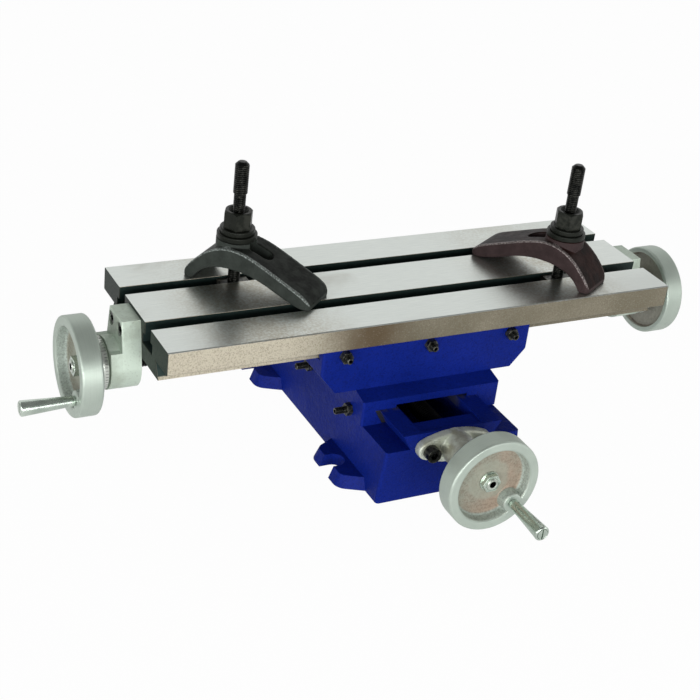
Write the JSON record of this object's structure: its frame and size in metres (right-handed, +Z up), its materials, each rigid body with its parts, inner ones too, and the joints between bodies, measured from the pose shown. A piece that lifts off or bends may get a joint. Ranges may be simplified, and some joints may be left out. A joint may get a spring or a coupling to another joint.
{
  "type": "cross slide table",
  "caption": "Compound cross slide table with a slotted top on crossed dovetail ways, lead screws with handwheels and two strap clamps.",
  "frame": {"origin": "centre of the base's underside", "axes": "+X along the table to the right, +Y from the operator's side to the back, +Z up"},
  "size_m": [0.6281, 0.3871, 0.245],
  "materials": {
    "blue_cast_paint": "rough cast, saturated blue paint",
    "ground_cast_iron": "ground, satin",
    "wheel_metal": "smooth machined rim, cast web",
    "bracket_casting": "cast, lightly machined",
    "dial_metal": "turned, graduated",
    "zinc_plate": "zinc plated, satin",
    "screw_steel": "turned, oiled",
    "nut_bronze": "cast bronze",
    "black_oxide": "black oxide",
    "black_strap": "forged, black",
    "brown_strap": "forged, dark brown"
  },
  "bodies": {
    "base": {"base_casting": "blue_cast_paint", "cross_screw_bracket": "bracket_casting", "bracket_cap_screws": "black_oxide"},
    "cross_screw": {"cross_screw": "screw_steel", "cross_dial": "dial_metal", "cross_handwheel": "wheel_metal", "cross_wheel_washer": "zinc_plate", "cross_wheel_nut": "zinc_plate", "cross_handle_screw": "zinc_plate"},
    "cross_handle": {"cross_crank_handle": "zinc_plate"},
    "saddle": {"saddle_casting": "blue_cast_paint", "cross_gib": "screw_steel", "cross_gib_screws": "black_oxide", "cross_gib_nuts": "black_oxide", "table_gib": "screw_steel", "table_gib_screws": "black_oxide", "table_gib_nuts": "black_oxide", "cross_nut": "nut_bronze", "cross_nut_screws": "black_oxide", "table_nut": "nut_bronze", "table_nut_screws": "black_oxide"},
    "table": {"table_plate": "ground_cast_iron", "left_end_bracket": "bracket_casting", "right_end_bracket": "bracket_casting", "left_bracket_screws": "black_oxide", "right_bracket_screws": "black_oxide"},
    "table_screw": {"table_screw": "screw_steel", "left_dial": "dial_metal", "right_dial": "dial_metal", "left_handwheel": "wheel_metal", "right_handwheel": "wheel_metal", "left_wheel_washer": "zinc_plate", "right_wheel_washer": "zinc_plate", "left_wheel_nut": "zinc_plate", "right_wheel_nut": "zinc_plate", "left_handle_screw": "zinc_plate"},
    "left_handle": {"left_crank_handle": "zinc_plate"},
    "left_stud": {"left_tee_nut": "black_oxide", "left_stud": "black_oxide"},
    "left_strap": {"left_strap": "black_strap", "left_lower_washer": "black_oxide"},
    "left_washer": {"left_upper_washer": "black_oxide"},
    "left_nut": {"left_clamp_nut": "black_oxide"},
    "right_stud": {"right_tee_nut": "black_oxide", "right_stud": "black_oxide"},
    "right_strap": {"right_strap": "brown_strap", "right_lower_washer": "black_oxide"},
    "right_washer": {"right_upper_washer": "black_oxide"},
    "right_nut": {"right_clamp_nut": "black_oxide"}
  },
  "joints": [
    {"name": "cross_screw_spin", "type": "hinge", "parent": "base", "child": "cross_screw", "pos_m": [-0.003, 0, 0.0495], "axis": [0, 1, 0], "range_deg": [-10440.01, 13320.01]},
    {"name": "cross_handle_spin", "type": "hinge", "parent": "cross_screw", "child": "cross_handle", "pos_m": [0.01772, -0.206, 0.02949], "axis": [0, 1, 0], "continuous": true},
    {"name": "saddle_slide", "type": "slide", "parent": "base", "child": "saddle", "axis": [0, 1, 0], "range_m": [-0.0725, 0.0925]},
    {"name": "table_slide", "type": "slide", "parent": "saddle", "child": "table", "axis": [1, 0, 0], "range_m": [-0.135, 0.135]},
    {"name": "table_screw_spin", "type": "hinge", "parent": "table", "child": "table_screw", "pos_m": [0, -0.01, 0.0944], "axis": [1, 0, 0], "range_deg": [-19440.01, 19440.01]},
    {"name": "left_handle_spin", "type": "hinge", "parent": "table_screw", "child": "left_handle", "pos_m": [-0.292, -0.03222, 0.07608], "axis": [1, 0, 0], "continuous": true},
    {"name": "left_stud_slide", "type": "slide", "parent": "table", "child": "left_stud", "axis": [1, 0, 0], "range_m": [-0.04, 0.045]},
    {"name": "left_strap_swivel", "type": "hinge", "parent": "left_stud", "child": "left_strap", "pos_m": [-0.14, 0.0212, 0.14], "axis": [0, 0, 1], "range_deg": [-35, 25]},
    {"name": "left_washer_lift", "type": "slide", "parent": "left_stud", "child": "left_washer", "axis": [0, 0, 1], "range_m": [0, 0.008]},
    {"name": "left_nut_spin", "type": "hinge", "parent": "left_washer", "child": "left_nut", "pos_m": [-0.14, 0.0212, 0.14], "axis": [0, 0, 1], "range_deg": [0, 1645.71]},
    {"name": "right_stud_slide", "type": "slide", "parent": "table", "child": "right_stud", "axis": [1, 0, 0], "range_m": [-0.045, 0.03]},
    {"name": "right_strap_swivel", "type": "hinge", "parent": "right_stud", "child": "right_strap", "pos_m": [0.1475, -0.0412, 0.14], "axis": [0, 0, 1], "range_deg": [-35, 25]},
    {"name": "right_washer_lift", "type": "slide", "parent": "right_stud", "child": "right_washer", "axis": [0, 0, 1], "range_m": [0, 0.008]},
    {"name": "right_nut_spin", "type": "hinge", "parent": "right_washer", "child": "right_nut", "pos_m": [0.1475, -0.0412, 0.14], "axis": [0, 0, 1], "range_deg": [0, 1645.71]}
  ],
  "couplings": [
    {"joint": "cross_screw_spin", "follows": "saddle_slide", "rad_per_m": 2513.3},
    {"joint": "table_screw_spin", "follows": "table_slide", "rad_per_m": 2513.3},
    {"joint": "left_washer_lift", "follows": "left_nut_spin", "m_per_rad": 0.00027852},
    {"joint": "right_washer_lift", "follows": "right_nut_spin", "m_per_rad": 0.00027852}
  ]
}
